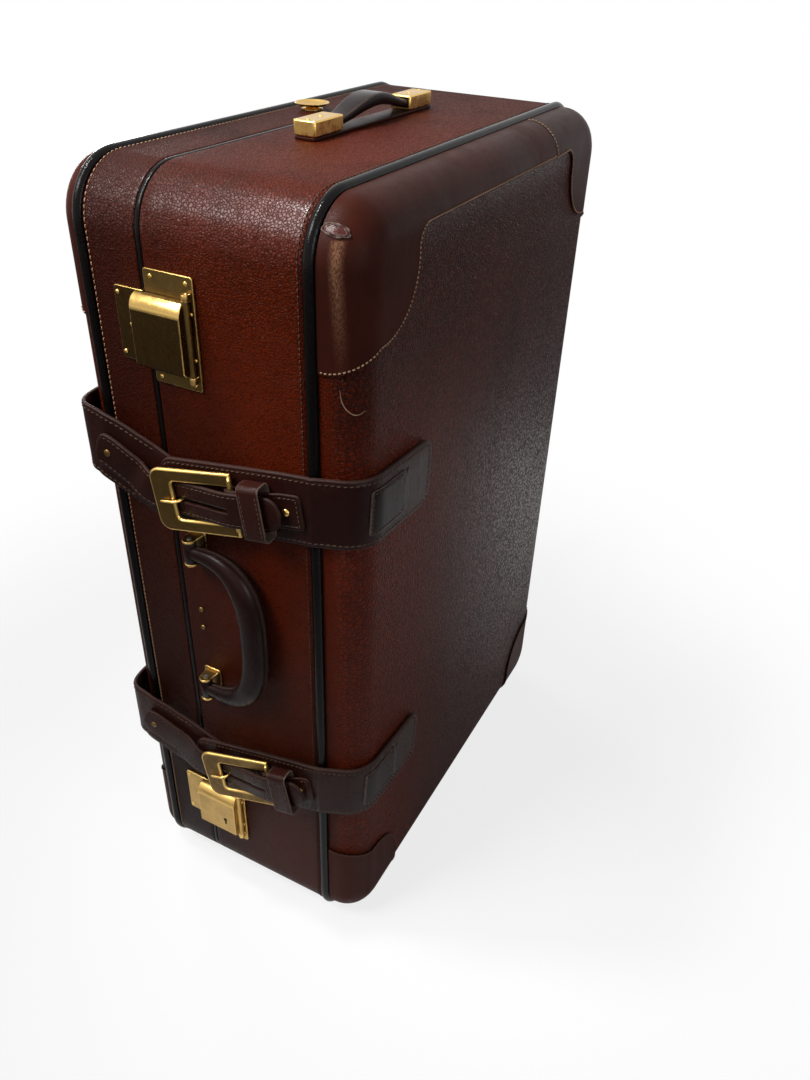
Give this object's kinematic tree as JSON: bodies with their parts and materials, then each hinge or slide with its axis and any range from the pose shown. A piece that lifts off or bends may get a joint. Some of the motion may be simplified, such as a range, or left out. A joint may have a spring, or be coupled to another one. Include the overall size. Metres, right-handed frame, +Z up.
{
  "type": "leather suitcase",
  "caption": "Leather suitcase standing on its short end, with a hinged lid, latching locks, buckled straps, a folding carry handle and an end handle.",
  "frame": {"origin": "middle of the case's footprint, on the floor it stands on", "axes": "+Z up along the case's length; the opening side with locks, straps and carry handle faces -Y; the deep base is towards +X and the lid towards -X"},
  "size_m": [0.233, 0.4673, 0.6831],
  "materials": {
    "red_brown_leather": "grained, polished",
    "dark_brown_leather": "smooth, polished",
    "black_piping": "smooth, satin",
    "brass": "polished, worn",
    "steel": "satin",
    "lining_cloth": "woven, matt",
    "rim_board": "stained, satin"
  },
  "bodies": {
    "base": {"base_face_panel": "red_brown_leather", "base_far_corner_patch": "dark_brown_leather", "base_gusset": "red_brown_leather", "base_lining": "lining_cloth", "base_low_back_patch": "dark_brown_leather", "base_low_front_patch": "dark_brown_leather", "base_piping": "black_piping", "base_rim_frame": "rim_board", "base_top_patch": "dark_brown_leather", "end_handle_back_cap": "brass", "end_handle_base": "black_piping", "end_handle_front_cap": "brass", "end_handle_strap": "dark_brown_leather", "lower_base_strap": "dark_brown_leather", "lower_chape": "dark_brown_leather", "lower_handle_bracket": "brass", "lower_handle_pin": "steel", "lower_hasp_pin": "steel", "lower_hinge_base_leaf": "brass", "lower_hinge_pin": "steel", "lower_keeper": "dark_brown_leather", "lower_lock_plate": "brass", "upper_base_strap": "dark_brown_leather", "upper_chape": "dark_brown_leather", "upper_handle_bracket": "brass", "upper_handle_pin": "steel", "upper_hasp_pin": "steel", "upper_hinge_base_leaf": "brass", "upper_hinge_pin": "steel", "upper_keeper": "dark_brown_leather", "upper_lock_plate": "brass"},
    "lid": {"lid_edge_binding": "black_piping", "lid_end_button": "brass", "lid_face_panel": "red_brown_leather", "lid_far_corner_patch": "dark_brown_leather", "lid_gusset": "red_brown_leather", "lid_lining": "lining_cloth", "lid_low_back_patch": "dark_brown_leather", "lid_low_front_patch": "dark_brown_leather", "lid_piping": "black_piping", "lid_top_patch": "dark_brown_leather", "lower_billet": "dark_brown_leather", "lower_hinge_lid_leaf": "brass", "lower_lid_strap": "dark_brown_leather", "lower_lock_strike": "brass", "upper_billet": "dark_brown_leather", "upper_hinge_lid_leaf": "brass", "upper_lid_strap": "dark_brown_leather", "upper_lock_strike": "brass"},
    "carry_handle": {"carry_handle_grip": "dark_brown_leather"},
    "lower_buckle": {"lower_buckle_frame": "brass"},
    "lower_bolt": {"lower_lock_bolt": "steel"},
    "lower_hasp": {"lower_lock_hasp": "brass"},
    "lower_prong": {"lower_prong": "brass"},
    "upper_buckle": {"upper_buckle_frame": "brass"},
    "upper_bolt": {"upper_lock_bolt": "steel"},
    "upper_hasp": {"upper_lock_hasp": "brass"},
    "upper_prong": {"upper_prong": "brass"}
  },
  "joints": [
    {"name": "lid_hinge", "type": "hinge", "parent": "base", "child": "lid", "pos_m": [-0.045, 0.23062, 0.532], "axis": [0, 0, -1], "range_deg": [0, 165], "deforming": ["upper_billet", "lower_billet"]},
    {"name": "carry_handle_turn", "type": "hinge", "parent": "base", "child": "carry_handle", "pos_m": [-0.025, -0.21918, 0.329], "axis": [0, 0, -1], "range_deg": [0, 165]},
    {"name": "upper_hasp_turn", "type": "hinge", "parent": "base", "child": "upper_hasp", "pos_m": [-0.0097, -0.21338, 0.5635], "axis": [0, 0, 1], "range_deg": [0, 100]},
    {"name": "upper_bolt_slide", "type": "slide", "parent": "base", "child": "upper_bolt", "axis": [0, 0, 1], "range_m": [0, 0.005]},
    {"name": "upper_buckle_turn", "type": "hinge", "parent": "base", "child": "upper_buckle", "pos_m": [0.0215, -0.22198, 0.45376], "axis": [-0.1392, 0, 0.9903], "range_deg": [0, 80]},
    {"name": "upper_prong_turn", "type": "hinge", "parent": "upper_buckle", "child": "upper_prong", "pos_m": [0.0215, -0.22198, 0.45376], "axis": [-0.1392, 0, 0.9903], "range_deg": [0, 40]},
    {"name": "lower_hasp_turn", "type": "hinge", "parent": "base", "child": "lower_hasp", "pos_m": [-0.0097, -0.21338, 0.1005], "axis": [0, 0, 1], "range_deg": [0, 100]},
    {"name": "lower_bolt_slide", "type": "slide", "parent": "base", "child": "lower_bolt", "axis": [0, 0, 1], "range_m": [0, 0.005]},
    {"name": "lower_buckle_turn", "type": "hinge", "parent": "base", "child": "lower_buckle", "pos_m": [0.035, -0.22198, 0.17833], "axis": [-0.1822, 0, 0.9833], "range_deg": [0, 80]},
    {"name": "lower_prong_turn", "type": "hinge", "parent": "lower_buckle", "child": "lower_prong", "pos_m": [0.035, -0.22198, 0.17833], "axis": [-0.1822, 0, 0.9833], "range_deg": [0, 40]}
  ]
}
